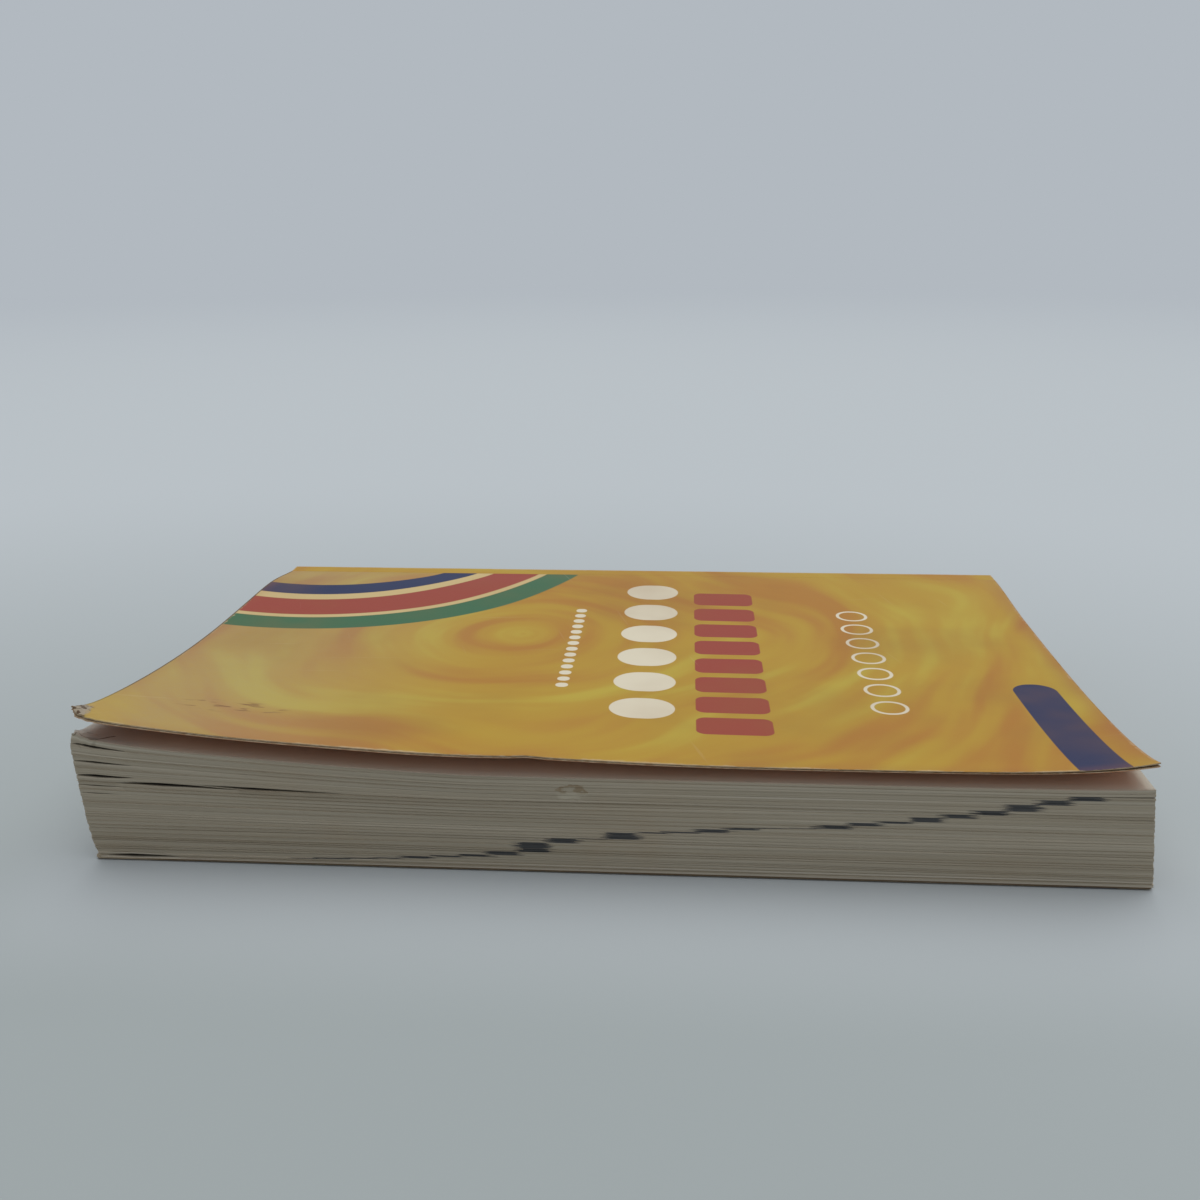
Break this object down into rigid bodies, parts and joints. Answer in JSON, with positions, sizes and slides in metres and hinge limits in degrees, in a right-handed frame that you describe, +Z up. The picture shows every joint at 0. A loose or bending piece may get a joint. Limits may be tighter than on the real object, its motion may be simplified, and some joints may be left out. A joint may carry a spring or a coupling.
{
  "type": "paperback book",
  "caption": "Worn thick paperback book lying on its back cover, its front cover and leaf corners curled up, with covers that open at their creases.",
  "frame": {"origin": "centre of the back cover's outer face, on the surface that the book lies on", "axes": "+X from the tail to the head of the book, +Y from the fore-edge to the spine, +Z up through the leaves to the front cover"},
  "size_m": [0.2362, 0.156, 0.0371],
  "materials": {
    "leaf_paper": "uncoated, slightly yellowed",
    "hot_melt_glue": "satin",
    "cover_card": "printed outside with a glossy film, uncoated inside"
  },
  "bodies": {
    "leaves_and_spine": {"text_block": "leaf_paper", "spine_glue": "hot_melt_glue", "cover_spine": "cover_card"},
    "front_cover": {"front_cover": "cover_card"},
    "back_cover": {"back_cover": "cover_card"}
  },
  "joints": [
    {"name": "front_cover_crease", "type": "hinge", "parent": "leaves_and_spine", "child": "front_cover", "pos_m": [0, 0.072, 0.0241], "axis": [-1, 0, 0], "range_deg": [0, 170]},
    {"name": "back_cover_crease", "type": "hinge", "parent": "leaves_and_spine", "child": "back_cover", "pos_m": [0, 0.072, 0], "axis": [1, 0, 0], "range_deg": [0, 180]}
  ]
}
